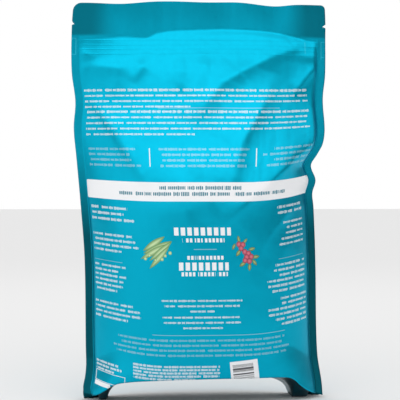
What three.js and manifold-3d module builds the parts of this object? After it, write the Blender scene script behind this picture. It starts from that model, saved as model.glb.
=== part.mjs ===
// A stand-up pouch of dry pet food, filled and heat-sealed, standing on its two feet.
// It is one closed piece of laminated film: a front wall, a back wall and a folded bottom
// gusset, welded to each other along both sides and across the top. Nobody can see into it,
// so it is one solid, out to the film's outer face.
//
// Millimetres, +Z up, and the origin is on the floor under the middle of the pouch.
// The printed front wall faces -Y. Two numbers place a point on a wall: u runs from -1 at
// the left edge to 1 at the right edge, and h is the height on the film, from 0 at the
// bottom rim to POUCH_HEIGHT at the top edge.
import * as THREE from "three";
import Module from "manifold-3d";

// Driving dimensions.
const POUCH_HEIGHT = 456;
const POUCH_WIDTH = 294; // across the empty, flat header
const HALF_WIDTH = POUCH_WIDTH / 2;
const POUCH_DEPTH = 108; // through the filled belly
const HALF_DEPTH = POUCH_DEPTH / 2;
const FIN_THICKNESS = 0.8; // two films welded together
const SIDE_SEAL = 9; // width of the weld along each side
const GUSSET_HEIGHT = 44; // how high the folded gusset reaches between the feet
const FOOT_OPENING = 11; // how far each lip of a foot stands out from the middle
const CORNER_RADIUS = { left: 9, right: 5 }; // the top corners
const NOTCH = { depth: 4.2, height: 2.6, z: 429.5 }; // the tear notches

// How finely the skin is divided.
const BODY_COLUMNS = 24; // across each wall, between the side seals
const FOOT_ROWS = 6; // up each wall as far as the gusset reaches
const WALL_ROWS = 32; // from there to the top edge

const FILM_COLOUR = 0x0090b4;

const clamp = THREE.MathUtils.clamp;
const lerp = THREE.MathUtils.lerp;
const smooth = THREE.MathUtils.smoothstep; // smooth(x, low, high)

// A smooth curve through [place, value] knots, flat beyond its ends. Each stretch is a cubic
// whose slope at a knot is that of the line between the knot's neighbours.
function through(...knots) {
  const slope = (i) => {
    const before = knots[Math.max(i - 1, 0)];
    const after = knots[Math.min(i + 1, knots.length - 1)];
    return (after[1] - before[1]) / (after[0] - before[0]);
  };
  return (place) => {
    const at = clamp(place, knots[0][0], knots.at(-1)[0]);
    const next = clamp(knots.findIndex((k) => k[0] > at), 1, knots.length - 1);
    const i = at === knots.at(-1)[0] ? knots.length - 2 : next - 1;
    const [[x0, y0], [x1, y1]] = [knots[i], knots[i + 1]];
    const span = x1 - x0;
    const t = (at - x0) / span;
    const rise = (3 - 2 * t) * t * t;
    const lean0 = t * (1 - t) * (1 - t);
    const lean1 = t * t * (t - 1);
    return y0 + (y1 - y0) * rise + span * (slope(i) * lean0 + slope(i + 1) * lean1);
  };
}

// Where the two side edges run. The belly draws them in, the feet flare out again, and the
// right edge has buckled just above the filling.
const leftEdge = through(
  [0, -133], [8, -134], [20, -131.8], [36, -130.5], [60, -131], [160, -132.3], [225, -137],
  [275, -141.5], [310, -144.6], [340, -142.8], [375, -HALF_WIDTH], [425, -HALF_WIDTH],
  [POUCH_HEIGHT, -145],
);
const rightEdge = through(
  [0, 141], [15, 140.5], [45, 137], [80, 135.5], [160, 134.5], [220, 132.3], [236, 131],
  [251, 134.8], [268, 129.5], [281, 137], [293, 143.5], [310, 146], [345, 144],
  [375, HALF_WIDTH], [430, HALF_WIDTH], [POUCH_HEIGHT, 145.5],
);

// How far each wall bulges from the middle plane on its centre line, by height on the film.
const frontBulge = through(
  [0, 47.5], [14, 49.5], [45, 52], [110, HALF_DEPTH], [180, 53.4], [213, 51], [240, 45.5],
  [290, 32.5], [340, 21.3], [380, 12.9], [408, 5.4], [420, 1.7], [426, 0], [POUCH_HEIGHT, 0],
);
const backBulge = through(
  [0, 47.5], [14, 49.5], [45, 52], [120, HALF_DEPTH], [190, 51.5], [245, 44], [300, 32],
  [350, 20], [390, 9.5], [420, 1.5], [426, 0], [POUCH_HEIGHT, 0],
);

// How far the bottom rim of each wall is off the floor. Both rise between the feet.
const frontRim = through(
  [-133, 8], [-121, 7], [-110, 13], [-102, 19], [-90, 23], [-60, 26], [0, 28], [60, 28],
  [95, 27], [104, 24], [112, 17], [120, 11], [130, 6], [141, 3],
);
const backRim = through([-104, 0], [-92, 9], [-60, 16], [0, 20], [60, 16], [92, 9], [104, 0]);

// The gusset touches the floor inside each foot and is a low vault between them.
const vault = through([-99, 0], [-90, 9], [-60, 17], [0, 22], [60, 17], [90, 9], [99, 0]);

// The top edge ripples a little.
const topRipple = through(
  [-147, -3.5], [-92, -3.6], [-50, 0], [0, -0.4], [40, 0], [85, -3.8], [110, -2.4], [147, -2.3],
);

// The middle plane leans back towards the header, which then comes forward a little.
const middlePlane = through([0, 0], [240, 0], [330, 3], [405, 5], [427, 4], [POUCH_HEIGHT, 2]);

// The lips of a foot spread apart below the top of the gusset.
const lipSpread = (h) => FOOT_OPENING * Math.pow(clamp(1 - h / GUSSET_HEIGHT, 0, 1), 1.2);

// The share of the bulge that is left at u: all of it in the middle, none in the side seal.
function bulgeShare(u, h) {
  const sealAt = 1 - SIDE_SEAL / HALF_WIDTH;
  const across = clamp(Math.abs(u) / sealAt, 0, 1);
  const fullness = lerp(2.5, 2, smooth(h, 150, 400));
  const squareness = lerp(0.78, 1, smooth(h, 150, 400));
  return Math.pow(1 - Math.pow(across, fullness), squareness);
}

// The buckle in the right side: two short valleys that run in from the edge.
function buckle(u, h) {
  const towardsEdge = smooth(u, 0.45, 0.95);
  const upper = 0.45 * Math.exp(-(((h - 267) / 9) ** 2));
  const lower = 0.3 * Math.exp(-(((h - 236) / 7) ** 2));
  return 1 - towardsEdge * (upper + lower);
}

// Rounding a top corner draws the side edge in by this much.
function cornerCut(z, top, radius) {
  const into = clamp(z - (top - radius), 0, radius);
  return radius - Math.sqrt(radius * radius - into * into);
}

// A point of a wall. side is -1 for the front wall and 1 for the back wall.
function wallPoint(u, h, side) {
  const centre = lerp(leftEdge(h), rightEdge(h), (u + 1) / 2);
  const rim = side < 0 ? frontRim(centre) : backRim(centre);
  const top = POUCH_HEIGHT + topRipple(centre);
  const lifted = rim * (1 - smooth(h, 0, 120));
  const dropped = (top - POUCH_HEIGHT) * smooth(h, 370, POUCH_HEIGHT);
  const z = h + lifted + dropped;
  const left = leftEdge(h) + cornerCut(z, top, CORNER_RADIUS.left);
  const right = rightEdge(h) - cornerCut(z, top, CORNER_RADIUS.right);
  const x = lerp(left, right, (u + 1) / 2);
  const bulge = side < 0 ? frontBulge(h) : backBulge(h);
  const lip = lipSpread(h);
  const out = lip + (bulge - lip) * bulgeShare(u, h) * buckle(u, h);
  return new THREE.Vector3(x, middlePlane(z) + side * (out + FIN_THICKNESS / 2), z);
}

// A point of the gusset. fold runs from 0 at the front rim through 0.5 at the fold line to 1
// at the back rim. In the foot's side seal the gusset lies against the two lips, as an
// upside-down V; further in it opens out flat.
function gussetPoint(u, fold) {
  const side = fold < 0.5 ? -1 : 1;
  const in_ = 1 - Math.abs(2 * fold - 1); // 0 at a rim, 1 at the fold line
  const h = in_ * GUSSET_HEIGHT;
  const rim = wallPoint(u, 0, side);
  const flatZ = lerp(rim.z, vault(rim.x), smooth(in_, 0, 0.3));
  const flat = new THREE.Vector3(rim.x, rim.y * (1 - in_), flatZ);
  const wall = wallPoint(u, h, side);
  const leafY = side * Math.max(lipSpread(h) - FIN_THICKNESS / 2, 0);
  const leaf = new THREE.Vector3(wall.x, leafY, wall.z - in_);
  const inSeal = smooth(Math.abs(u), 0.87, 1 - SIDE_SEAL / HALF_WIDTH);
  return flat.lerp(leaf, inSeal);
}

// The columns and rows that divide the skin.
function columns() {
  const sealAt = 1 - SIDE_SEAL / HALF_WIDTH;
  const body = Array.from({ length: BODY_COLUMNS + 1 }, (_, i) => {
    return -sealAt * Math.cos((Math.PI * i) / BODY_COLUMNS);
  });
  const seal = (1 + sealAt) / 2;
  return [-1, -seal, ...body, seal, 1];
}

function rows() {
  const foot = Array.from({ length: FOOT_ROWS }, (_, i) => (GUSSET_HEIGHT * i) / FOOT_ROWS);
  const wall = Array.from({ length: WALL_ROWS }, (_, i) => {
    return GUSSET_HEIGHT + ((POUCH_HEIGHT - 10 - GUSSET_HEIGHT) * i) / (WALL_ROWS - 1);
  });
  const corner = [3, 5.5, 7.5, 9, 10].map((up) => POUCH_HEIGHT - 10 + up);
  return [...foot, ...wall, ...corner];
}

// The whole skin as one indexed mesh: the two walls, the gusset between their bottom rims,
// and the film's cut edge round the sides and the top.
function pouchSkin() {
  const us = columns();
  const hs = rows();
  const positions = [];
  const triangles = [];
  const add = (p) => positions.push(p.x, p.y, p.z) / 3 - 1;
  const quad = (a, b, c, d) => triangles.push(a, b, c, a, c, d);

  const front = hs.map((h) => us.map((u) => add(wallPoint(u, h, -1))));
  const back = hs.map((h) => us.map((u) => add(wallPoint(u, h, 1))));
  const folds = 2 * FOOT_ROWS;
  const gusset = Array.from({ length: folds + 1 }, (_, i) => {
    if (i === 0) return front[0];
    if (i === folds) return back[0];
    return us.map((u) => add(gussetPoint(u, i / folds)));
  });

  const last = us.length - 1;
  for (let j = 0; j < last; j++) {
    for (let i = 0; i < hs.length - 1; i++) {
      quad(front[i][j], front[i][j + 1], front[i + 1][j + 1], front[i + 1][j]);
      quad(back[i][j + 1], back[i][j], back[i + 1][j], back[i + 1][j + 1]);
    }
    for (let i = 0; i < folds; i++) {
      quad(gusset[i][j + 1], gusset[i][j], gusset[i + 1][j], gusset[i + 1][j + 1]);
    }
    quad(front.at(-1)[j], front.at(-1)[j + 1], back.at(-1)[j + 1], back.at(-1)[j]);
  }

  // The side edges. flip turns a face round for the right-hand edge.
  for (const [j, flip] of [[0, false], [last, true]]) {
    const face = (a, b, c, d) => (flip ? quad(a, d, c, b) : quad(a, b, c, d));
    const corner = (a, b, c) => (flip ? triangles.push(a, c, b) : triangles.push(a, b, c));
    corner(front[0][j], front[1][j], gusset[1][j]);
    corner(back[1][j], back[0][j], gusset[folds - 1][j]);
    for (let i = 1; i < FOOT_ROWS; i++) {
      face(front[i][j], front[i + 1][j], gusset[i + 1][j], gusset[i][j]);
      face(gusset[folds - i][j], gusset[folds - i - 1][j], back[i + 1][j], back[i][j]);
    }
    corner(front[FOOT_ROWS][j], back[FOOT_ROWS][j], gusset[FOOT_ROWS][j]);
    for (let i = FOOT_ROWS; i < hs.length - 1; i++) {
      face(front[i][j], front[i + 1][j], back[i + 1][j], back[i][j]);
    }
  }
  return { positions, triangles };
}

// A wedge whose point goes into the pouch from one side edge, to cut a tear notch with.
function notchWedge(edgeX, z, inward) {
  const shape = new THREE.Shape([
    new THREE.Vector2(edgeX - inward * 3, z + NOTCH.height),
    new THREE.Vector2(edgeX - inward * 3, z - NOTCH.height),
    new THREE.Vector2(edgeX + inward * NOTCH.depth, z),
  ]);
  const length = POUCH_DEPTH / 2;
  const wedge = new THREE.ExtrudeGeometry(shape, { depth: length, bevelEnabled: false });
  wedge.translate(0, 0, -length / 2);
  wedge.rotateX(Math.PI / 2); // the shape's own height becomes Z
  return wedge;
}

const wasm = await Module();
wasm.setup();

function solid(positions, triangles) {
  const mesh = new wasm.Mesh({
    numProp: 3,
    vertProperties: new Float32Array(positions),
    triVerts: new Uint32Array(triangles),
  });
  mesh.merge();
  return new wasm.Manifold(mesh);
}

function solidOf(geometry) {
  const flat = geometry.index ? geometry.toNonIndexed() : geometry;
  const positions = flat.getAttribute("position").array;
  return solid(positions, Array.from({ length: positions.length / 3 }, (_, i) => i));
}

function geometryOf(manifold) {
  const mesh = manifold.getMesh();
  return new THREE.BufferGeometry()
    .setAttribute("position", new THREE.BufferAttribute(mesh.vertProperties, 3))
    .setIndex(new THREE.BufferAttribute(mesh.triVerts, 1));
}

function pouchGeometry() {
  const { positions, triangles } = pouchSkin();
  const leftNotch = notchWedge(leftEdge(NOTCH.z), NOTCH.z, 1);
  const rightNotch = notchWedge(rightEdge(NOTCH.z), NOTCH.z, -1);
  const cut = solid(positions, triangles)
    .subtract(solidOf(leftNotch))
    .subtract(solidOf(rightNotch));
  const geometry = geometryOf(cut);
  geometry.computeBoundingBox();
  const { min, max } = geometry.boundingBox;
  return geometry.translate(-(min.x + max.x) / 2, -(min.y + max.y) / 2, -min.z);
}

const pouch = new THREE.Mesh(
  pouchGeometry(),
  new THREE.MeshStandardMaterial({ color: FILM_COLOUR, roughness: 0.4, metalness: 0.4 }),
);
pouch.name = "pouch";

const group = new THREE.Group();
group.add(pouch);
export default group;
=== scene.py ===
import math

import bpy
import numpy as np
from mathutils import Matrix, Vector


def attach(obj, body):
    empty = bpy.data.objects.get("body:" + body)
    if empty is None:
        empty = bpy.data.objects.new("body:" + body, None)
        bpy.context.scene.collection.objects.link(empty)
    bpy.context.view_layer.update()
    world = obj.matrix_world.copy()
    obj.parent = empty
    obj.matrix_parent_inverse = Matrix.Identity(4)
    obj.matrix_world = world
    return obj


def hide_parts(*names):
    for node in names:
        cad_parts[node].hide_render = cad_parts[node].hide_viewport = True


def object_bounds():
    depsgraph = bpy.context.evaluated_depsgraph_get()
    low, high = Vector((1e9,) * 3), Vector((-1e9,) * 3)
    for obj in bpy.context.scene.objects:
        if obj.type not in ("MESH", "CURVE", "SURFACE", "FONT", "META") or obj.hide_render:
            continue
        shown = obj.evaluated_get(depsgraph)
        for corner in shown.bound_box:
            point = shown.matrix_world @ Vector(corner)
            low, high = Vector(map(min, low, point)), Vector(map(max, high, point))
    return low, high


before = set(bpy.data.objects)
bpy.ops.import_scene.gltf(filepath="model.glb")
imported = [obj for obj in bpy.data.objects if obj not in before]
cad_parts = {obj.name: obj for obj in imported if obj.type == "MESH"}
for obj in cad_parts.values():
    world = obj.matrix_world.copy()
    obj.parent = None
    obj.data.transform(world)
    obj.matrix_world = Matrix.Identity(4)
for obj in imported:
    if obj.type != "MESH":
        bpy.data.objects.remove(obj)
cad_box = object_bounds()

# The camera, the floor and the lights. The pouch stands a little turned, with its right side
# further away, in front of a long lens at half its height.
low, high = cad_box
MM = 0.001  # a millimetre, in metres
pouch_height = high.z - low.z

camera_turn = math.radians(-5.5)
camera_distance = 1.45
camera_height = pouch_height * 0.4995
view_height = 0.4605  # what the picture spans at the pouch's middle
lens_data = bpy.data.cameras.new("camera")
lens_data.sensor_width = 36
lens_data.lens = lens_data.sensor_width * camera_distance / view_height
camera = bpy.data.objects.new("camera", lens_data)
bpy.context.collection.objects.link(camera)
camera.location = (
    math.sin(camera_turn) * camera_distance,
    -math.cos(camera_turn) * camera_distance,
    camera_height,
)
camera.rotation_euler = (math.radians(90), 0, camera_turn)
bpy.context.scene.camera = camera

bpy.ops.mesh.primitive_plane_add(size=60, location=(0, 0, 0))
floor = bpy.context.object
floor.name = "floor"
floor_paint = bpy.data.materials.new("pale_floor")
floor_paint.use_nodes = True
floor_shader = floor_paint.node_tree.nodes["Principled BSDF"]
floor_shader.inputs["Base Color"].default_value = (0.74, 0.74, 0.74, 1)
floor_shader.inputs["Roughness"].default_value = 0.9
floor.data.materials.append(floor_paint)


def soft_light(name, place, aim, size, watts):
    """An area light at place, turned so that it shines at the point aim."""
    light = bpy.data.lights.new(name, "AREA")
    light.shape = "RECTANGLE"
    light.size, light.size_y = size
    light.energy = watts
    holder = bpy.data.objects.new(name, light)
    bpy.context.collection.objects.link(holder)
    holder.location = place
    holder.rotation_euler = (Vector(aim) - Vector(place)).to_track_quat("-Z", "Y").to_euler()


middle = (0, 0, pouch_height / 2)
soft_light("overhead_front", (-0.2, -1.6, 1.6), middle, (2.2, 0.9), 3.3)
soft_light("overhead_back", (0.2, 1.7, 1.8), middle, (2.2, 1.0), 3.3)

# The room that the film mirrors. A wide white ceiling panel stands over the dim walls, and the
# left wall is lighter than the right. The camera sees plain white behind the floor.
bpy.context.scene.view_settings.view_transform = "Standard"
world = bpy.data.worlds.new("studio")
bpy.context.scene.world = world
world.use_nodes = True
sky = world.node_tree


def fade(value, start, end, before, after):
    """before up to start, after from end, and an S curve between them, of a direction's part."""
    node = sky.nodes.new("ShaderNodeMapRange")
    node.interpolation_type = "SMOOTHSTEP"
    sky.links.new(value, node.inputs["Value"])
    node.inputs["From Min"].default_value = start
    node.inputs["From Max"].default_value = end
    node.inputs["To Min"].default_value = before
    node.inputs["To Max"].default_value = after
    return node.outputs["Result"]


def combine(operation, a, b):
    """A Math node's output, of two other outputs."""
    node = sky.nodes.new("ShaderNodeMath")
    node.operation = operation
    sky.links.new(a, node.inputs[0])
    sky.links.new(b, node.inputs[1])
    return node.outputs[0]


direction = sky.nodes.new("ShaderNodeTexCoord")
parts = sky.nodes.new("ShaderNodeSeparateXYZ")
sky.links.new(direction.outputs["Generated"], parts.inputs[0])
rightward, upward = parts.outputs["X"], parts.outputs["Z"]
panel = fade(upward, 0.02, 0.54, 0.0, 1.2)
panel = combine("MULTIPLY", panel, fade(rightward, 0.58, 0.95, 1.0, 0.5))
walls = fade(rightward, -0.6, 0.1, 0.98, 0.46)
walls = combine("MULTIPLY", walls, fade(rightward, 0.1, 0.8, 1.0, 0.5))
walls = combine("MULTIPLY", walls, fade(rightward, -1.0, -0.86, 0.3, 1.0))
room = sky.nodes["Background"]
sky.links.new(combine("MAXIMUM", panel, walls), room.inputs["Strength"])
room.inputs["Color"].default_value = (1, 1, 1, 1)
backdrop = sky.nodes.new("ShaderNodeBackground")
backdrop.inputs["Color"].default_value = (1, 1, 1, 1)
seen = sky.nodes.new("ShaderNodeLightPath")
either = sky.nodes.new("ShaderNodeMixShader")
sky.links.new(seen.outputs["Is Camera Ray"], either.inputs["Fac"])
sky.links.new(room.outputs[0], either.inputs[1])
sky.links.new(backdrop.outputs[0], either.inputs[2])
sky.links.new(either.outputs[0], sky.nodes["World Output"].inputs["Surface"])


# The pouch's skin. Two walls of metallised laminate and a folded bottom gusset are welded
# down both sides and across the top, and the filling pushes the walls apart. It is worked out
# as one closed surface from u, -1 to 1 across the film, and h, the height up the film.
FILM = 0.5  # the two films where they are welded, in mm like every size of the skin
HEIGHT = pouch_height / MM
HALF_WIDTH = 147  # of the empty, flat header
SIDE_SEAL = 9  # the width of the weld down each side
SEAL_AT = 1 - SIDE_SEAL / HALF_WIDTH  # the weld's inner edge, as u
HEADER = 426  # where the bulge of both walls ends, before the header line shifts it
GUSSET_HEIGHT = 44  # how high the folded gusset reaches between the feet
FOOT_OPENING = 11  # how far each lip of a foot stands out from the middle
RIM_REACH = 120  # how high up the walls the rim's arch is felt
EDGE_REACH = 0.55  # the u beyond which the walls follow the side edges' own shape


def through(*knots):
    """A smooth curve through (place, value) knots, level past its ends. Between two knots it is
    the cubic whose slopes are those of the lines between each knot's neighbours."""
    at, value = np.array(knots, float).T
    after = np.minimum(np.arange(at.size) + 1, at.size - 1)
    before = np.maximum(np.arange(at.size) - 1, 0)
    slope = (value[after] - value[before]) / (at[after] - at[before])

    def curve(place):
        place = np.clip(place, at[0], at[-1])
        i = np.clip(np.searchsorted(at, place, side="right") - 1, 0, at.size - 2)
        span = at[i + 1] - at[i]
        t = (place - at[i]) / span
        rise = (3 - 2 * t) * t * t
        leans = slope[i] * t * (1 - t) ** 2 + slope[i + 1] * t * t * (t - 1)
        return value[i] + (value[i + 1] - value[i]) * rise + span * leans

    return curve


def smooth(value, start, end):
    """0 below start, 1 above end, and an S curve between them."""
    t = np.clip((value - start) / (end - start), 0, 1)
    return t * t * (3 - 2 * t)


left_edge = through(
    (0, -133), (8, -134), (20, -131.8), (36, -130.5), (60, -131), (160, -132.3), (225, -137),
    (275, -141.5), (310, -144.6), (340, -142.8), (375, -147), (425, -147), (456, -145),
)
right_edge = through(
    (0, 141), (15, 140.5), (45, 137), (80, 135.5), (160, 134.5), (220, 132.3), (236, 131),
    (251, 134.8), (268, 129.5), (281, 137), (293, 143.5), (310, 146), (345, 144), (375, 147),
    (430, 147), (456, 145.5),
)
straight_right = through(
    (0, 141), (60, 136.5), (160, 134.5), (220, 134), (300, 144.5), (375, 147), (456, 147),
)
front_bulge = through(
    (0, 47.5), (14, 49.5), (45, 52), (110, 54), (180, 53.4), (213, 51), (240, 45.5), (290, 32.5),
    (340, 21.3), (380, 12.9), (408, 5.4), (420, 1.7), (425, 0.2), (426, 0), (456, 0),
)
back_bulge = through(
    (0, 47.5), (14, 49.5), (45, 52), (120, 54), (190, 51.5), (245, 44), (300, 32), (350, 20),
    (390, 9.5), (420, 1.5), (425, 0.2), (426, 0), (456, 0),
)
header_line = through(
    (-147, 414), (-115, 418), (-86, 418.5), (-62, 415), (-49, 420), (-23, 424), (38, 425.5),
    (78, 426), (98, 423), (118, 418), (131, 414), (147, 414),
)
front_rim = through(
    (-133, 8), (-121, 7), (-110, 13), (-102, 19), (-90, 23), (-60, 26), (0, 28), (60, 28),
    (95, 27), (104, 24), (112, 17), (120, 11), (130, 6), (141, 3),
)
back_rim = through(
    (-107, 0), (-104, 8), (-97, 14), (-84, 18), (-60, 21), (0, 24), (60, 21), (84, 18),
    (97, 14), (104, 8), (107, 0),
)
vault = through(
    (-107, 0), (-104, 9), (-97, 17), (-84, 21), (-60, 24), (0, 26), (60, 26), (84, 24),
    (97, 19), (104, 10), (107, 0),
)
top_ripple = through(
    (-147, -3.5), (-92, -3.6), (-50, 0), (0, -0.4), (40, 0), (85, -3.8), (110, -2.4), (147, -2.3),
)
middle_plane = through((0, 0), (240, 0), (330, 3), (405, 5), (427, 4), (456, 2))
header_wave = through(
    (-147, 1.5), (-120, -2.2), (-88, 0.8), (-50, 1.7), (-15, -1.3), (25, 1.4), (52, -1.5),
    (85, 1.2), (115, -1.8), (147, 1.5),
)
HEADER_CURL = 4  # how far the header's ends stand forward of its middle
CORNERS = {"left": 9, "right": 5}
NOTCH_DEPTH, NOTCH_HALF, NOTCH_Z = 4.2, 1.6, 429.5
ZIPPER, ZIPPER_HEIGHT = (394, 412.5), 0.35  # the press-to-close strip's relief in each wall


def corner_cut(z, top, radius):
    """How far a rounded top corner draws the side edge in at height z."""
    into = np.clip(z - (top - radius), 0, radius)
    return radius - np.sqrt(radius**2 - into**2)


# What the filling and the handling have done to the walls. A fold runs through points (x, z,
# height) and falls off to the left and to the right of its run over two reaches, both as seen
# along the run. It is a ridge where its height is above 0, and a valley below 0.
CREST = 3  # how rounded a fold's line is
FRONT_FOLDS = {
    "diagonal": (
        [(118, 424, 0), (111, 404, 2.8), (84, 394, 4.6), (46, 376, 5.6), (24, 363, 5.0),
         (8, 343, 3.8), (-10, 312, 0)], 16, 24,
    ),
    "drop": (
        [(84, 374, 0), (74, 344, 3.6), (58, 317, 5.0), (44, 294, 5.0), (37, 272, 4.4),
         (32, 252, 2.6), (28, 232, 0)], 11, 22,
    ),
    "right_shoulder": (
        [(147, 392, 0.6), (129, 377, 2.6), (114, 358, 2.2), (102, 342, 0)], 3.5, 9,
    ),
    "long_right": (
        [(150, 322, 6), (130, 294, 13), (112, 279, 15.5), (90, 261, 14), (70, 243, 9.5),
         (48, 226, 5.6), (28, 209, 3.0), (12, 190, 0)], 16, 44,
    ),
    "buckle_upper": ([(104, 265, 0), (118, 267, -2.0), (134, 268, -4.0)], 6, 6),
    "buckle_lower": ([(108, 240, 0), (121, 237, -1.8), (133, 236, -2.8)], 4, 4),
    "low_right": ([(118, 232, 0), (97, 214, 1.8), (74, 188, 1.0), (58, 160, 0)], 5, 9),
    "lower_right": ([(116, 200, 0), (95, 172, 0.8), (78, 140, 0)], 7, 9),
    "left_pleat": (
        [(-137, 348, 0), (-118, 334, 2.6), (-100, 308, 4.0), (-85, 283, 3.8), (-70, 257, 2.6),
         (-56, 232, 0)], 24, 5,
    ),
    "left_shoulder": ([(-138, 381, 0), (-112, 380, 2.2), (-95, 379, 2.2), (-78, 384, 0)], 10, 11),
    "left_streak": ([(-58, 398, 0), (-67, 381, 2.6), (-78, 362, 0)], 6, 9),
    "middle_streak": ([(-22, 398, 0), (-22, 375, 2.0), (-24, 348, 0)], 6, 9),
    "right_streak": ([(6, 400, 0), (4, 382, 2.0), (2, 352, 0)], 5, 8),
    "under_band": ([(-28, 262, 0), (-24, 236, 1.6), (-20, 216, 1.8), (-16, 192, 0)], 6, 9),
    "low_middle": ([(4, 300, 0), (-2, 268, 2.0), (6, 232, 2.0), (4, 204, 0)], 8, 10),
    "zipper_end_left": ([(-147, 397, 0.6), (-134, 395, 1.4), (-118, 391, 0)], 4, 3),
    "zipper_end_right": ([(110, 394, 0), (125, 393, 1.3), (147, 393, 0.8)], 4, 3.5),
    "pucker_left": ([(-147, 379, 0.6), (-138, 378, 0.9), (-126, 378, 0)], 3, 3),
}
BACK_FOLDS = {
    "buckle": ([(98, 264, 0), (116, 267, -3.0), (134, 268, -5.0)], 7, 6),
    "buckle_crest": ([(138, 300, 0), (108, 284, 3.0), (70, 262, 2.2), (30, 240, 0)], 12, 18),
    "left_crest": ([(-134, 336, 0), (-110, 308, 2.2), (-86, 262, 0)], 18, 7),
    "header_crest": ([(-110, 422, 0), (-84, 396, 2.2), (-40, 370, 2.6), (-6, 330, 0)], 20, 12),
    "drop": ([(64, 392, 0), (52, 350, 1.8), (44, 310, 1.6), (24, 270, 0)], 12, 15),
}


def folds(x, z, table):
    """The sum of the folds. Each is its height, which changes along its run, times an exponential
    of the distance to its run over its reach, with the crest rounded."""
    total = np.zeros(x.shape)
    for points, reach_left, reach_right in table.values():
        nearest = np.full(x.shape, 1e9)
        height = np.zeros(x.shape)
        side = np.zeros(x.shape)
        for (x0, z0, h0), (x1, z1, h1) in zip(points, points[1:]):
            dx, dz = x1 - x0, z1 - z0
            t = np.clip(((x - x0) * dx + (z - z0) * dz) / (dx * dx + dz * dz), 0, 1)
            gap = np.hypot(x - x0 - t * dx, z - z0 - t * dz)
            closer = gap < nearest
            nearest = np.where(closer, gap, nearest)
            height = np.where(closer, h0 + (h1 - h0) * t, height)
            side = np.where(closer, (x - x0) * dz - (z - z0) * dx, side)
        reach = reach_left + (reach_right - reach_left) * smooth(side / 400, -0.5, 0.5)
        total += height * np.exp((CREST - np.hypot(nearest, CREST)) / reach)
    return total


def foot_lip(h):
    """How far a foot's lip stands out at film height h: all the way at the floor, and closed at the
    top of the gusset, a little faster than in a straight line."""
    return FOOT_OPENING * np.clip(1 - h / GUSSET_HEIGHT, 0, 1) ** 1.2


def wall(u, h, side):
    """A wall's surface. x runs evenly between the side edges, and follows the buckled right edge
    only near it. z is the film height h, raised by the rim's arch and lowered by the top's ripple.
    y is the lip, plus the bulge times its share at u, plus the folds and the strip's relief. The
    bulge ends at the header line, and the header curls and waves. side is -1 for the front wall
    and 1 for the back."""
    centre = left_edge(h) + (right_edge(h) - left_edge(h)) * (u + 1) / 2
    rim = front_rim(centre) if side < 0 else back_rim(centre)
    top = HEIGHT + top_ripple(centre)
    z = h + rim * (1 - smooth(h, 0, RIM_REACH)) + (top - HEIGHT) * smooth(h, 370, HEIGHT)
    notch = NOTCH_DEPTH * np.clip(1 - np.abs(z - NOTCH_Z) / NOTCH_HALF, 0, 1)
    notch = notch * smooth(np.abs(u), SEAL_AT, 1)
    rounding = smooth(np.abs(u), EDGE_REACH, 1)
    left = left_edge(h) + rounding * corner_cut(z, top, CORNERS["left"]) + notch
    right = right_edge(h) - rounding * corner_cut(z, top, CORNERS["right"]) - notch
    straight = straight_right(h)
    x = left + (straight - left) * (u + 1) / 2 + (right - straight) * smooth(u, EDGE_REACH, 1)
    across = np.clip(np.abs(u) / SEAL_AT, 0, 1)
    fullness = 2.5 - 0.5 * smooth(h, 150, 400)
    squareness = 0.78 + 0.22 * smooth(h, 150, 400)
    share = (1 - across**fullness) ** squareness
    level = h + (HEADER - header_line(centre)) * smooth(h, 350, 405)
    bulge = front_bulge(level) if side < 0 else back_bulge(level)
    lip = foot_lip(h)
    loose = smooth(h, 20, 60) * (1 - smooth(level, HEADER - 8, HEADER))
    loose = loose * (1 - smooth(np.abs(u), 0.9, SEAL_AT))
    creases = folds(x, z, FRONT_FOLDS if side < 0 else BACK_FOLDS)
    out = np.maximum(lip + (bulge - lip) * share + creases * loose, 0)
    under_strip = smooth(z, ZIPPER[0] - 6, ZIPPER[0] + 4) - smooth(z, ZIPPER[1] - 3, ZIPPER[1] + 1)
    out = out + ZIPPER_HEIGHT * under_strip * (1 - smooth(np.abs(u), 0.945, 0.96))
    curl = (HEADER_CURL * np.abs(u) ** 2 - header_wave(x)) * smooth(z, 405, HEIGHT)
    return x, middle_plane(z) - curl + side * (out + FILM / 2), z


def gusset(u, fold):
    """The gusset's surface, from fold 0 at the front rim through 0.5 at its fold line to 1 at the
    back rim. Its height goes from the rim's to the vault's on an S curve. Within the feet's welds
    it lies against both lips instead, as an upside-down V."""
    side = np.where(fold < 0.5, -1, 1)
    inward = 1 - np.abs(2 * fold - 1)
    h = inward * GUSSET_HEIGHT
    rims = [wall(u, np.zeros(u.shape), s) for s in (-1, 1)]
    walls = [wall(u, h, s) for s in (-1, 1)]
    rim = [np.where(side < 0, a, b) for a, b in zip(*rims)]
    leaf = [np.where(side < 0, a, b) for a, b in zip(*walls)]
    lip = foot_lip(h)
    flat_z = rim[2] + (vault(rim[0]) - rim[2]) * smooth(inward, 0, 1)
    welded = smooth(np.abs(u), 0.87, SEAL_AT)
    x = rim[0] + (leaf[0] - rim[0]) * welded
    y = rim[1] * (1 - inward) * (1 - welded) + side * np.maximum(lip - FILM / 2, 0) * welded
    z = flat_z + (leaf[2] - inward - flat_z) * welded
    return x, y, z


rise_left = through((20, 14), (120, 9), (240, 4.6), (300, 1), (350, 0))
rise_right = through((20, 8), (120, 9), (240, 9.5), (350, 3), (400, 0))


def print_rise(s, z):
    """How far the film's level lines rise towards its sides, where the welds hold it up."""
    left, right = np.clip((-s - 45) / 90, 0, 1), np.clip((s - 45) / 90, 0, 1)
    return rise_left(z) * left**2 + rise_right(z) * right**2


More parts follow.
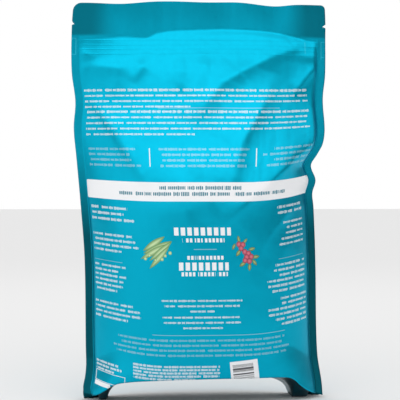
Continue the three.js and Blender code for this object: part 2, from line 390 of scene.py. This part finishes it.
def skin_mesh(name, columns, rows, gusset_rows):
    """The closed skin: a grid for each wall and for the gusset, sharing the rim's points, with
    strips for the film's cut edges at both sides and the top. Its material slots are 0 for the
    front wall, 1 for the rest and 2 for the gusset. The UV map film is the place on the flat film,
    in metres: across it by u at the welds and by x between them, and up it by z less the rise."""
    body = -np.cos(np.linspace(0, math.pi, columns + 1))
    body = SEAL_AT * (0.45 * body + 0.55 * np.linspace(-1, 1, columns + 1))
    seal = np.linspace(SEAL_AT, 1, 6)[1:]
    us = np.concatenate([-seal[::-1], body, seal])
    notch_rows = NOTCH_Z + np.linspace(-1, 1, 7) * NOTCH_HALF
    foot = np.linspace(0, GUSSET_HEIGHT, gusset_rows + 1)
    high_rows = np.linspace(GUSSET_HEIGHT, HEIGHT, rows + 1)[1:]
    high_rows = high_rows[np.abs(high_rows - NOTCH_Z) > NOTCH_HALF * 1.1]
    corner_rows = HEIGHT - np.array([0.3, 0.8, 1.6, 2.8, 4.4])
    hs = np.unique(np.concatenate([foot, high_rows, notch_rows, corner_rows]).round(4))
    u, h = np.meshgrid(us, hs)
    front = np.stack(wall(u, h, -1), axis=-1)
    back = np.stack(wall(u, h, 1), axis=-1)
    fu, fold = np.meshgrid(us, np.linspace(0, 1, 2 * gusset_rows + 1)[1:-1])
    under = np.stack(gusset(fu, fold), axis=-1)
    n, m, k = us.size, hs.size, under.shape[0]
    number = np.arange(2 * n * m + n * k)
    f = number[: n * m].reshape(m, n)
    b = number[n * m : 2 * n * m].reshape(m, n)
    g = np.concatenate([f[:1], number[2 * n * m :].reshape(k, n), b[:1]])

    def quads(lower, upper):
        """The four corners of each cell between two neighbouring lines of point numbers."""
        corners = [lower[..., :-1], lower[..., 1:], upper[..., 1:], upper[..., :-1]]
        return np.stack(corners, -1).reshape(-1, 4)

    quad_faces = [
        quads(f[:-1], f[1:]), quads(b[:-1], b[1:])[:, ::-1], quads(g[:-1], g[1:])[:, ::-1],
        quads(f[-1], b[-1]),
    ]
    triangle_faces = []
    half = gusset_rows
    for column, turn in ((0, 1), (-1, -1)):
        lips = ((f[: half + 1, column], g[: half + 1, column], turn),
                (b[: half + 1, column], g[half:, column][::-1], -turn))
        for lip, leaf, way in lips:  # a lip and its leaf of the gusset start at one point
            cells = quads(lip, leaf)
            quad_faces.append(cells[1:, ::way])
            triangle_faces.append(cells[:1, :3][:, ::way])
        quad_faces.append(quads(f[half:, column], b[half:, column])[:, ::turn])
        top_of_foot = (f[half, column], b[half, column], g[half, column])
        triangle_faces.append(np.array([top_of_foot])[:, ::turn])
    faces = np.concatenate(quad_faces).tolist() + np.concatenate(triangle_faces).tolist()
    points = np.concatenate([front.reshape(-1, 3), back.reshape(-1, 3), under.reshape(-1, 3)])
    mesh = bpy.data.meshes.new(name)
    mesh.from_pydata((points * MM).tolist(), [], faces)
    mesh.polygons.foreach_set("use_smooth", np.ones(len(faces), bool))
    wall_faces, gusset_faces = (n - 1) * (m - 1), (n - 1) * (k + 1)
    film_kind = np.ones(len(faces), np.int32)
    film_kind[:wall_faces] = 0
    film_kind[2 * wall_faces : 2 * wall_faces + gusset_faces] = 2
    mesh.polygons.foreach_set("material_index", film_kind)
    share_u = np.concatenate([u.ravel(), u.ravel(), fu.ravel()])
    from_left = points[:, 0] - left_edge(points[:, 2])
    straight_u = 2 * from_left / (straight_right(points[:, 2]) - left_edge(points[:, 2])) - 1
    film_s = HALF_WIDTH * (straight_u + (share_u - straight_u) * smooth(np.abs(share_u), 0.55, 0.93))
    film_t = points[:, 2] - print_rise(film_s, points[:, 2])
    corner = np.empty(len(mesh.loops), int)
    mesh.loops.foreach_get("vertex_index", corner)
    film_map = mesh.uv_layers.new(name="film")
    film_map.uv.foreach_set("vector", (np.stack([film_s, film_t], -1)[corner] * MM).ravel())
    mesh.update()
    return mesh


pouch = bpy.data.objects.new("pouch_film", skin_mesh("pouch_film", 150, 220, 22))
bpy.context.collection.objects.link(pouch)
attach(pouch, "root")
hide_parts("pouch")

# The film's finish. The laminate is printed teal over a metallised layer, so its sheen is teal
# too. It is crinkled finely all over, and pressed flat and ribbed where it is welded. Painted
# shade darkens the welds, both ends of the header and its top.
def calc(tree, operation, *values):
    """A Math node's output. Each value is a number or another node's output."""
    node = tree.nodes.new("ShaderNodeMath")
    node.operation = operation
    for socket, value in zip(node.inputs, values):
        if isinstance(value, (int, float)):
            socket.default_value = value
        else:
            tree.links.new(value, socket)
    return node.outputs[0]


def product(tree, first, *others):
    """The product of several masks."""
    for other in others:
        first = calc(tree, "MULTIPLY", first, other)
    return first


def new_group(name, inputs, outputs):
    """An empty shader node group. inputs gives each number socket's name and default, and
    outputs gives each output's name."""
    group = bpy.data.node_groups.new(name, "ShaderNodeTree")
    for label, value in inputs.items():
        socket = group.interface.new_socket(label, in_out="INPUT", socket_type="NodeSocketFloat")
        socket.default_value = value
    for label in outputs:
        group.interface.new_socket(label, in_out="OUTPUT", socket_type="NodeSocketFloat")
    entry, exit_ = group.nodes.new("NodeGroupInput"), group.nodes.new("NodeGroupOutput")
    return group, entry.outputs, exit_.inputs


def place_group(tree, group, **values):
    """A group node in tree, with its sockets set to numbers or linked to outputs."""
    node = tree.nodes.new("ShaderNodeGroup")
    node.node_tree = group
    for label, value in values.items():
        socket = node.inputs[label]
        if isinstance(value, (int, float)):
            socket.default_value = value
        else:
            tree.links.new(value, socket)
    return node.outputs


def film_place(tree):
    """The place on the film in mm: S across it from the middle, and T up it from the bottom."""
    uv = tree.nodes.new("ShaderNodeUVMap")
    uv.uv_map = "film"
    parts = tree.nodes.new("ShaderNodeSeparateXYZ")
    tree.links.new(uv.outputs["UV"], parts.inputs[0])
    return [calc(tree, "MULTIPLY", part, 1 / MM) for part in parts.outputs[:2]]


def noise(tree, s, t, scale_s, scale_t, detail=2.0, seed=0.0):
    """A noise that changes over 1 / scale_s mm across the film and 1 / scale_t mm up it."""
    place = tree.nodes.new("ShaderNodeCombineXYZ")
    tree.links.new(calc(tree, "MULTIPLY", s, scale_s), place.inputs[0])
    tree.links.new(calc(tree, "MULTIPLY", t, scale_t), place.inputs[1])
    place.inputs[2].default_value = seed
    node = tree.nodes.new("ShaderNodeTexNoise")
    node.inputs["Scale"].default_value = 1
    node.inputs["Detail"].default_value = detail
    tree.links.new(place.outputs[0], node.inputs["Vector"])
    return node.outputs["Fac"]


def ramp(tree, value, start, end):
    """0 up to start, 1 from end, and an S curve between them."""
    node = tree.nodes.new("ShaderNodeMapRange")
    node.interpolation_type = "SMOOTHSTEP"
    node.inputs["From Min"].default_value = start
    node.inputs["From Max"].default_value = end
    tree.links.new(value, node.inputs["Value"])
    return node.outputs["Result"]


RIB_PITCH = 1.6  # mm between the weld's ribs, across and up the film
LOWEST_RAIL, RAIL_PITCH = 395.2, 5.3
STRIP_MIDDLE, STRIP_HALF = 403.2, 9.2


def make_film_finish():
    """Height in mm is crinkles in two sizes, upright streaks above the filling, ribs across the
    welds, and the rails of the press-to-close strip. Painted shade is how much of the painted
    shade teal to mix in: down both welds, most low down, over both ends of the header and along
    its top. Gloss loss is what crinkles and ribs add to roughness."""
    group, given, result = new_group(
        "film_finish", {"S": 0.0, "T": 0.0}, ("Height", "Weld", "Gloss loss")
    )
    s, t = given["S"], given["T"]
    from_edge = calc(group, "SUBTRACT", HALF_WIDTH, calc(group, "ABSOLUTE", s))
    weld = calc(group, "LESS_THAN", from_edge, SIDE_SEAL)
    # Painted shade down the welds: full up to 180 mm, and falling to 0.3 of it by 285 mm.
    above_belly = calc(group, "SUBTRACT", t, 180)
    weld_shade_by_height = calc(group, "SUBTRACT", 1, calc(group, "MULTIPLY", above_belly, 1 / 150))
    weld_shade_by_height = calc(group, "MAXIMUM", calc(group, "MINIMUM", weld_shade_by_height, 1), 0.3)
    aslant = calc(group, "MULTIPLY", calc(group, "ADD", s, t), 2 * math.pi / RIB_PITCH)
    ribs = calc(group, "SINE", aslant)
    broad = noise(group, s, t, 1 / 26, 1 / 34, 2.0, 3.1)
    streaks = noise(group, s, t, 1 / 15, 1 / 85, 1.0, 5.3)
    streaks = product(group, streaks, ramp(group, t, 200, 290))
    fine = noise(group, s, t, 1 / 4.5, 1 / 6.5, 3.0, 7.7)
    crinkle = calc(group, "MULTIPLY", broad, 0.8)
    crinkle = calc(group, "ADD", crinkle, calc(group, "MULTIPLY", fine, 0.05))
    crinkle = calc(group, "ADD", crinkle, calc(group, "MULTIPLY", streaks, 1.1))
    above_rail = calc(group, "SUBTRACT", t, LOWEST_RAIL)
    rail = calc(group, "COSINE", calc(group, "MULTIPLY", above_rail, 2 * math.pi / RAIL_PITCH))
    from_strip = calc(group, "ABSOLUTE", calc(group, "SUBTRACT", t, STRIP_MIDDLE))
    in_zipper = product(
        group, calc(group, "LESS_THAN", from_strip, STRIP_HALF),
        calc(group, "GREATER_THAN", from_edge, SIDE_SEAL),
    )
    rails = product(group, calc(group, "POWER", calc(group, "MAXIMUM", rail, 0), 3), in_zipper)
    height = calc(group, "ADD", crinkle, product(group, weld, ribs, 0.04))
    height = calc(group, "ADD", height, product(group, rails, 0.07))
    group.links.new(height, result["Height"])
    # Painted shade over both ends of the header, and less of it along the header's top.
    end = ramp(group, calc(group, "ABSOLUTE", s), 88, 128)
    bowed = calc(group, "ADD", t, product(group, s, s, 0.00012))
    end = product(group, end, ramp(group, bowed, 416, 421), 0.72)
    end = calc(group, "MAXIMUM", end, product(group, ramp(group, t, 422, 450), 0.2))
    group.links.new(calc(group, "MAXIMUM", product(group, weld, weld_shade_by_height), end), result["Weld"])
    loss = calc(group, "MULTIPLY", fine, 0.12)
    loss = calc(group, "ADD", loss, calc(group, "MULTIPLY", weld, 0.06))
    group.links.new(loss, result["Gloss loss"])
    return group


film_finish = make_film_finish()
FILM_TEAL = (0.0, 0.435, 0.635, 1)
# Painted shade: the dark teal that the welds, the header's ends and its top are mixed towards.
PAINTED_SHADE_TEAL = (0.0, 0.10, 0.135, 1)
# The gusset's dark teal is painted shade: the shade inside the feet and under the arch, laid into its
# colour.
GUSSET_SHADE_TEAL = (0.0, 0.07, 0.10, 1)
FILM_METALLIC = 0.92
FILM_ROUGHNESS = 0.27


def film_material(name, tone):
    """The bare film: its tone with painted shade mixed in at the welds, the header's ends and its
    top, and the finish's height as bump. It returns the material, its node tree and shader, and
    the outputs S, T, colour and roughness, for the caller to link or to print over."""
    material = bpy.data.materials.new(name)
    material.use_nodes = True
    tree = material.node_tree
    shader = tree.nodes["Principled BSDF"]
    s, t = film_place(tree)
    finish = place_group(tree, film_finish, S=s, T=t)
    teal = tree.nodes.new("ShaderNodeMix")
    teal.data_type = "RGBA"
    teal.inputs["A"].default_value = tone
    teal.inputs["B"].default_value = PAINTED_SHADE_TEAL
    tree.links.new(finish["Weld"], teal.inputs["Factor"])
    bump = tree.nodes.new("ShaderNodeBump")
    bump.inputs["Distance"].default_value = MM
    tree.links.new(finish["Height"], bump.inputs["Height"])
    tree.links.new(bump.outputs["Normal"], shader.inputs["Normal"])
    rough = calc(tree, "ADD", finish["Gloss loss"], FILM_ROUGHNESS)
    return material, tree, shader, s, t, teal.outputs["Result"], rough


bare_films = {}
for name, tone in (("plain_film", FILM_TEAL), ("shaded_gusset_film", GUSSET_SHADE_TEAL)):
    bare_films[name], tree, shader, s, t, teal, rough = film_material(name, tone)
    tree.links.new(teal, shader.inputs["Base Color"])
    tree.links.new(rough, shader.inputs["Roughness"])
    shader.inputs["Metallic"].default_value = FILM_METALLIC


# The print on the front wall. White ink lies over the metallised film, so it has no sheen. All
# copy is greeked: rows of small plain blocks hold its place, and no letter is drawn.
def make_box_mask():
    """1 inside a box turned by Turn degrees about its middle, with corners of radius Round, and
    where Under is 1. Along and Up are the place in the box's own directions."""
    group, given, result = new_group(
        "box_mask",
        {"Under": 0.0, "S": 0.0, "T": 0.0, "Middle S": 0.0, "Middle T": 0.0, "Half width": 1.0,
         "Half height": 1.0, "Turn": 0.0, "Round": 0.0},
        ("Mask", "Along", "Up"),
    )
    a = calc(group, "SUBTRACT", given["S"], given["Middle S"])
    b = calc(group, "SUBTRACT", given["T"], given["Middle T"])
    turn = calc(group, "RADIANS", given["Turn"])
    cos, sin = calc(group, "COSINE", turn), calc(group, "SINE", turn)
    along = calc(group, "ADD", product(group, a, cos), product(group, b, sin))
    up = calc(group, "SUBTRACT", product(group, b, cos), product(group, a, sin))
    over = []
    for value, half in ((along, given["Half width"]), (up, given["Half height"])):
        inner = calc(group, "SUBTRACT", half, given["Round"])
        beyond = calc(group, "SUBTRACT", calc(group, "ABSOLUTE", value), inner)
        over.append(calc(group, "MAXIMUM", beyond, 0))
    squares = [product(group, part, part) for part in over]
    gap = calc(group, "SQRT", calc(group, "ADD", *squares))
    limit = calc(group, "MAXIMUM", given["Round"], 0.0001)
    inside = calc(group, "LESS_THAN", gap, limit)
    group.links.new(calc(group, "MAXIMUM", inside, given["Under"]), result["Mask"])
    group.links.new(along, result["Along"])
    group.links.new(up, result["Up"])
    return group


def make_copy_mask():
    """Rows of greeked copy. A place is inked where it is in a row's ink height, inside the row's
    width, inside a word and inside a block, or where Under is 1. Some blocks are lower by Rise,
    the last row is cut to Last, the others by up to Ragged, and the words differ in length unless
    Even is 1. Align 0, 0.5 or 1 sets the rows to the left, in the middle or to the right."""
    group, given, result = new_group(
        "copy_mask",
        {"Under": 0.0, "S": 0.0, "T": 0.0, "Left": 0.0, "Right": 10.0, "Top": 0.0, "Pitch": 6.0,
         "Rows": 1.0, "Ink": 2.0, "Word": 9.0, "Block": 1.3, "Gap": 0.26, "Rise": 0.28, "Last": 1.0,
         "Align": 0.0, "Ragged": 0.1, "Even": 0.0, "Seed": 0.0},
        ("Mask",),
    )
    down = calc(group, "DIVIDE", calc(group, "SUBTRACT", given["Top"], given["T"]), given["Pitch"])
    row = calc(group, "FLOOR", down)
    in_rows = product(
        group, calc(group, "GREATER_THAN", row, -0.5),
        calc(group, "LESS_THAN", row, calc(group, "SUBTRACT", given["Rows"], 0.5)),
    )
    chance = group.nodes.new("ShaderNodeTexWhiteNoise")
    chance.noise_dimensions = "1D"
    group.links.new(calc(group, "ADD", row, given["Seed"]), chance.inputs["W"])
    cut = product(group, chance.outputs["Value"], given["Ragged"])
    is_last = calc(group, "GREATER_THAN", row, calc(group, "SUBTRACT", given["Rows"], 1.5))
    short = product(group, is_last, calc(group, "SUBTRACT", 1, given["Last"]))
    cut = calc(group, "MAXIMUM", cut, short)
    full = calc(group, "SUBTRACT", given["Right"], given["Left"])
    start = calc(group, "ADD", given["Left"], product(group, full, cut, given["Align"]))
    along = calc(group, "SUBTRACT", given["S"], start)
    width = product(group, full, calc(group, "SUBTRACT", 1, cut))
    in_width = calc(group, "GREATER_THAN", along, 0)
    in_width = product(group, in_width, calc(group, "LESS_THAN", along, width))
    words = calc(group, "DIVIDE", along, given["Word"])
    phase = product(group, chance.outputs["Value"], 40)
    phase = calc(group, "ADD", calc(group, "MULTIPLY", words, 2.3), phase)
    uneven = calc(group, "SUBTRACT", 1, given["Even"])
    words = calc(group, "ADD", words, product(group, calc(group, "SINE", phase), uneven, 0.3))
    in_word = calc(group, "LESS_THAN", calc(group, "FRACT", words), 0.84)
    blocks = calc(group, "DIVIDE", along, given["Block"])
    in_block = calc(group, "GREATER_THAN", calc(group, "FRACT", blocks), given["Gap"])
    tall = group.nodes.new("ShaderNodeTexWhiteNoise")
    tall.noise_dimensions = "1D"
    block_number = calc(group, "ADD", calc(group, "FLOOR", blocks), calc(group, "MULTIPLY", row, 71))
    group.links.new(calc(group, "ADD", block_number, given["Seed"]), tall.inputs["W"])
    low_block = calc(group, "LESS_THAN", tall.outputs["Value"], 0.6)
    reach = calc(group, "SUBTRACT", 0.5, product(group, low_block, given["Rise"], 0.5))
    from_row = calc(group, "ABSOLUTE", calc(group, "SUBTRACT", calc(group, "FRACT", down), 0.5))
    from_row = product(group, from_row, given["Pitch"])
    in_ink = calc(group, "LESS_THAN", from_row, product(group, given["Ink"], reach))
    inside = product(group, in_rows, in_width, in_word, in_block, in_ink)
    group.links.new(calc(group, "MAXIMUM", inside, given["Under"]), result["Mask"])
    return group


box_mask, copy_mask = make_box_mask(), make_copy_mask()
printed_film, tree, shader, s, t, colour, rough = film_material("printed_film", FILM_TEAL)


def lay_ink(tree, under, ink, mask):
    """The colour under with ink over it where mask is 1."""
    mix = tree.nodes.new("ShaderNodeMix")
    mix.data_type = "RGBA"
    for socket, value in ((mix.inputs["A"], under), (mix.inputs["B"], ink)):
        if isinstance(value, tuple):
            socket.default_value = value
        else:
            tree.links.new(value, socket)
    tree.links.new(mask, mix.inputs["Factor"])
    return mix.outputs["Result"]


def copy(under, left, right, top, pitch, rows, ink, **more):
    """The mask under, with rows of greeked copy on the front wall added to it."""
    values = {"Left": left, "Right": right, "Top": top, "Pitch": pitch, "Rows": rows, "Ink": ink}
    return place_group(tree, copy_mask, Under=under, S=s, T=t, **values, **more)["Mask"]


def box(under, left, right, bottom, top, **more):
    """The mask under, with a box on the front wall added to it."""
    values = {"Middle S": (left + right) / 2, "Middle T": (bottom + top) / 2,
              "Half width": (right - left) / 2, "Half height": (top - bottom) / 2}
    return place_group(tree, box_mask, Under=under, S=s, T=t, **values, **more)


WHITE_INK = (0.92, 0.93, 0.95, 1)
BAND_INK = (0.0, 0.19, 0.27, 1)
ZIPPER_LINE_TEAL = (0.05, 0.62, 0.80, 1)
BAR_INK = (0.10, 0.10, 0.11, 1)
SMALL = {"Word": 7.5, "Block": 1.25, "Gap": 0.3}
BOLD = {"Word": 8, "Block": 1.5, "Gap": 0.3, "Ragged": 0}
TINY = {"Word": 6, "Block": 0.9, "Gap": 0.2, "Last": 0.7}
HEADLINE = {"Word": 200, "Block": 8.1, "Gap": 0.34, "Rise": 0, "Ragged": 0, "Even": 1}
SUBHEAD = {"Word": 17, "Block": 4.6, "Gap": 0.36, "Rise": 0, "Ragged": 0}

SMALL_PRINT = 0.78  # the small print's ink against the headings', as its strokes are thin
FAINT_PRINT = 0.36  # the fine grey copy's and the rules' ink, against the small print's

faint = 0.0
for block in (
    dict(left=-132, right=-70, top=288, pitch=6.3, rows=4, ink=3, Ragged=0.25),
    dict(left=-54, right=55, top=288, pitch=6.3, rows=4, ink=3, Ragged=0.15, Align=0.5),
    dict(left=70, right=132, top=288, pitch=6.3, rows=4, ink=3, Ragged=0.25, Align=1),
    dict(left=-115, right=107, top=74.5, pitch=5.6, rows=4, ink=2.6, Ragged=0.12, Align=0.5),
):
    faint = copy(faint, **block, **SMALL, Seed=block["top"] + block["left"])
for rule in (
    (-66, 100, 77.2, 77.9), (-134, -101, 154.4, 155), (93, 128, 158.4, 159),
    (-14, 14, 172.6, 173.5), (-52, 90, 331.9, 332.6),
):
    faint = box(faint, *rule)["Mask"]
white = calc(tree, "MULTIPLY", faint, FAINT_PRINT)
for block in (
    dict(left=-136, right=127, top=356.2, pitch=6.4, rows=1, ink=3.2, **BOLD),
    dict(left=-136, right=127, top=349.8, pitch=6.4, rows=3, ink=2.3, Last=0.46, Ragged=0.02, **SMALL),
    dict(left=-133, right=128, top=331.2, pitch=6.5, rows=1, ink=3.2, **BOLD),
    dict(left=-133, right=128, top=324.7, pitch=6.5, rows=4, ink=2.3, Last=0.48, Ragged=0.02, **SMALL),
    dict(left=-134, right=-78, top=219.5, pitch=6.6, rows=3, ink=3.3, Word=10, Block=1.4, Ragged=0.35),
    dict(left=-134, right=-80, top=188, pitch=6, rows=4, ink=2.9, Last=0.6, Ragged=0.2, **SMALL),
    dict(left=-134, right=-97, top=152, pitch=5.6, rows=6, ink=2.8, Last=0.7, Ragged=0.3, **SMALL),
    dict(left=-134, right=-79, top=109, pitch=5.6, rows=4, ink=2.8, Last=0.7, Ragged=0.3, **SMALL),
    dict(left=88, right=129, top=220, pitch=6.4, rows=2, ink=3.2, Align=1, Ragged=0.2, **SMALL),
    dict(left=94, right=129, top=201.5, pitch=6, rows=5, ink=2.6, Align=1, Ragged=0.35, **SMALL),
    dict(left=71, right=130, top=155, pitch=5.8, rows=6, ink=2.8, Align=1, Last=0.8, Ragged=0.4, **SMALL),
    dict(left=74, right=132, top=117, pitch=5.8, rows=6, ink=2.8, Align=1, Ragged=0.4, **SMALL),
    dict(left=-55, right=45, top=119, pitch=5.9, rows=3, ink=2.3, Align=0.5, Last=0.3, **SMALL),
    dict(left=-55, right=45, top=100.5, pitch=5.9, rows=3, ink=2.3, Align=0.5, Last=0.5, **SMALL),
    dict(left=-90, right=18, top=44, pitch=3.6, rows=5, ink=2.7, Ragged=0.05, **TINY),
    dict(left=-134, right=-103, top=37, pitch=4.2, rows=3, ink=2.9, Ragged=0.2, **TINY),
):
    white = copy(white, **block, Seed=block["top"] + block["left"])
white = calc(tree, "MULTIPLY", white, SMALL_PRINT)
for block in (
    dict(left=-39.5, right=32.6, top=198, pitch=10.2, rows=1, ink=8.8, **HEADLINE),
    dict(left=-29, right=26, top=186.3, pitch=6.4, rows=1, ink=4.4, **SUBHEAD),
    dict(left=-28.5, right=23, top=167, pitch=6.4, rows=1, ink=4.2, **SUBHEAD),
    dict(left=-35.5, right=28.3, top=159.2, pitch=10.2, rows=1, ink=8.8, **HEADLINE),
    dict(left=-31.5, right=27, top=148.8, pitch=6.4, rows=1, ink=4.4, **SUBHEAD),
):
    white = copy(white, **block, Seed=block["top"] + block["left"])
for bar in ((-62.6, -61.4, 265, 286), (62, 63.2, 265, 286), (-134, -116, 7, 12)):
    white = box(white, *bar)["Mask"]

colour = lay_ink(tree, colour, WHITE_INK, white)
band = box(0.0, -137, 137.5, 226.2, 247.6, Round=1.5)["Mask"]
colour = lay_ink(tree, colour, WHITE_INK, band)
BAND_TYPE = {"Word": 15, "Block": 2.2, "Gap": 0.3, "Rise": 0.2, "Ragged": 0}
band_copy = copy(0.0, -53, 49, 244.6, 6.6, 1, 4.4, **BAND_TYPE, Seed=40)
band_copy = copy(band_copy, -100, 102, 237.8, 6.6, 1, 4.4, **BAND_TYPE, Seed=41)
colour = lay_ink(tree, colour, BAND_INK, product(tree, band, band_copy))
inked = calc(tree, "MAXIMUM", white, band)
small_frame = box(0.0, -134, -99, 12.5, 24.5)["Mask"]
small_frame = calc(tree, "SUBTRACT", small_frame, box(0.0, -133.4, -99.6, 13.1, 23.9)["Mask"])
colour = lay_ink(tree, colour, WHITE_INK, small_frame)
inked = calc(tree, "MAXIMUM", inked, small_frame)

# Lighter teal lines outline both ends of the press-to-close strip, and one more runs up near its right
# end.
zipper_end_lines = 0.0
for mark in (
    (-147, -141.6, 412.6, 413.2), (-147, -141.6, 394.2, 394.8), (-142.2, -141.5, 394.2, 413.2),
    (141.6, 147, 411.4, 412), (141.6, 147, 393.4, 394), (141.5, 142.2, 391, 412),
    (122, 122.8, 397, 411),
):
    zipper_end_lines = box(zipper_end_lines, *mark)["Mask"]
colour = lay_ink(tree, colour, ZIPPER_LINE_TEAL, calc(tree, "MULTIPLY", zipper_end_lines, 0.6))

label = box(0.0, 28.5, 63.5, 24.0, 48.5, Turn=4.5, Round=0.8)
bar = calc(tree, "FLOOR", calc(tree, "DIVIDE", label["Up"], 0.42))
bar_chance = tree.nodes.new("ShaderNodeTexWhiteNoise")
bar_chance.noise_dimensions = "1D"
tree.links.new(bar, bar_chance.inputs["W"])
bars = product(
    tree, calc(tree, "GREATER_THAN", bar_chance.outputs["Value"], 0.5),
    calc(tree, "LESS_THAN", calc(tree, "ABSOLUTE", calc(tree, "ADD", label["Along"], 1.5)), 13),
    calc(tree, "LESS_THAN", calc(tree, "ABSOLUTE", calc(tree, "ADD", label["Up"], 2)), 10.5),
)
colour = lay_ink(tree, colour, WHITE_INK, label["Mask"])
colour = lay_ink(tree, colour, BAR_INK, product(tree, label["Mask"], bars))
inked = calc(tree, "MAXIMUM", inked, label["Mask"])

# The two small pictures: a bunch of plain green pods with loose peas, and a sprig of plain red
# berries with small leaves. A pod or a leaf is (s, t, half length, half width, turn) with pointed
# ends, and a pea or a berry is (s, t, radius). Each has a lighter middle, and lies on the last.
PODS = [
    (-62, 179, 16, 3.6, 32), (-58, 175, 19, 3.3, 23), (-63, 170, 18, 3.3, 29),
    (-54, 171, 18, 3.2, 38), (-56, 164, 18, 3.3, 46),
]
PEAS = [
    (-73, 162, 1.9), (-68, 166, 1.6), (-53, 162, 2.0), (-49, 166, 1.8), (-43, 169, 2.0),
    (-61, 161, 1.5),
]
LEAVES = [
    (42, 184, 4.5, 1.9, 100), (35.5, 176, 4.2, 1.8, 60), (41, 169, 4.8, 2.2, 50),
    (50, 182, 4, 1.7, 45), (58, 173, 4.6, 2.0, 10), (62.5, 164, 5, 2.2, 5),
    (61, 158, 4.6, 2.0, -50), (46, 156.5, 5, 2.2, 30), (54.5, 153, 4.6, 2.2, 85),
]
BERRIES = [
    (42, 178.5, 3.3), (47, 178, 3.2), (44.5, 174, 3.2), (49, 170, 3.3), (53.5, 168, 3.3),
    (51, 164, 3.4), (57, 164.5, 3.2), (49, 160.5, 3.1), (54.5, 159.5, 3.3),
]


def make_oval():
    """Mask is 1 inside an oval turned by Turn degrees, and where Under is 1. Light is 1 at its
    middle and 0 at its rim, and outside it is Light under. Point 1 gives it pointed ends."""
    group, given, result = new_group(
        "oval",
        {"Under": 0.0, "Light under": 0.0, "S": 0.0, "T": 0.0, "Middle S": 0.0, "Middle T": 0.0,
         "Long": 1.0, "Short": 1.0, "Turn": 0.0, "Point": 0.0},
        ("Mask", "Light"),
    )
    a = calc(group, "SUBTRACT", given["S"], given["Middle S"])
    b = calc(group, "SUBTRACT", given["T"], given["Middle T"])
    turn = calc(group, "RADIANS", given["Turn"])
    cos, sin = calc(group, "COSINE", turn), calc(group, "SINE", turn)
    along = calc(group, "ADD", product(group, a, cos), product(group, b, sin))
    up = calc(group, "SUBTRACT", product(group, b, cos), product(group, a, sin))
    along = calc(group, "DIVIDE", along, given["Long"])
    up = calc(group, "DIVIDE", up, given["Short"])
    blunt = calc(group, "POWER", calc(group, "ABSOLUTE", up), calc(group, "SUBTRACT", 2, given["Point"]))
    reach = calc(group, "ADD", product(group, along, along), blunt)
    light = calc(group, "SUBTRACT", 1, reach)
    inside = calc(group, "GREATER_THAN", light, 0)
    kept = product(group, calc(group, "SUBTRACT", 1, inside), given["Light under"])
    group.links.new(calc(group, "MAXIMUM", inside, given["Under"]), result["Mask"])
    group.links.new(calc(group, "MAXIMUM", light, kept), result["Light"])
    return group


oval = make_oval()
for shapes, point, dark, light in (
    (PODS, 1, (0.10, 0.27, 0.07, 1), (0.62, 0.80, 0.44, 1)),
    ([(a, b, r, r, 0) for a, b, r in PEAS], 0, (0.18, 0.36, 0.10, 1), (0.66, 0.82, 0.46, 1)),
    (LEAVES, 1, (0.04, 0.13, 0.03, 1), (0.42, 0.52, 0.22, 1)),
    ([(a, b, r, r, 0) for a, b, r in BERRIES], 0, (0.20, 0.01, 0.04, 1), (0.70, 0.16, 0.22, 1)),
):
    mask = shine = 0.0
    for middle_s, middle_t, long, short, turn in shapes:
        values = {"Middle S": middle_s, "Middle T": middle_t, "Long": long, "Short": short,
                  "Turn": turn, "Light under": shine, "Point": point}
        shape = place_group(tree, oval, Under=mask, S=s, T=t, **values)
        mask, shine = shape["Mask"], shape["Light"]
    colour = lay_ink(tree, colour, lay_ink(tree, dark, light, shine), mask)
    inked = calc(tree, "MAXIMUM", inked, mask)

INK_ROUGHNESS = 0.12  # what the ink adds to the film's own
metallic = calc(tree, "MULTIPLY", calc(tree, "SUBTRACT", 1, inked), FILM_METALLIC)
tree.links.new(colour, shader.inputs["Base Color"])
tree.links.new(metallic, shader.inputs["Metallic"])
rough = calc(tree, "ADD", rough, calc(tree, "MULTIPLY", inked, INK_ROUGHNESS))
tree.links.new(rough, shader.inputs["Roughness"])
pouch.data.materials.append(printed_film)
pouch.data.materials.append(bare_films["plain_film"])
pouch.data.materials.append(bare_films["shaded_gusset_film"])
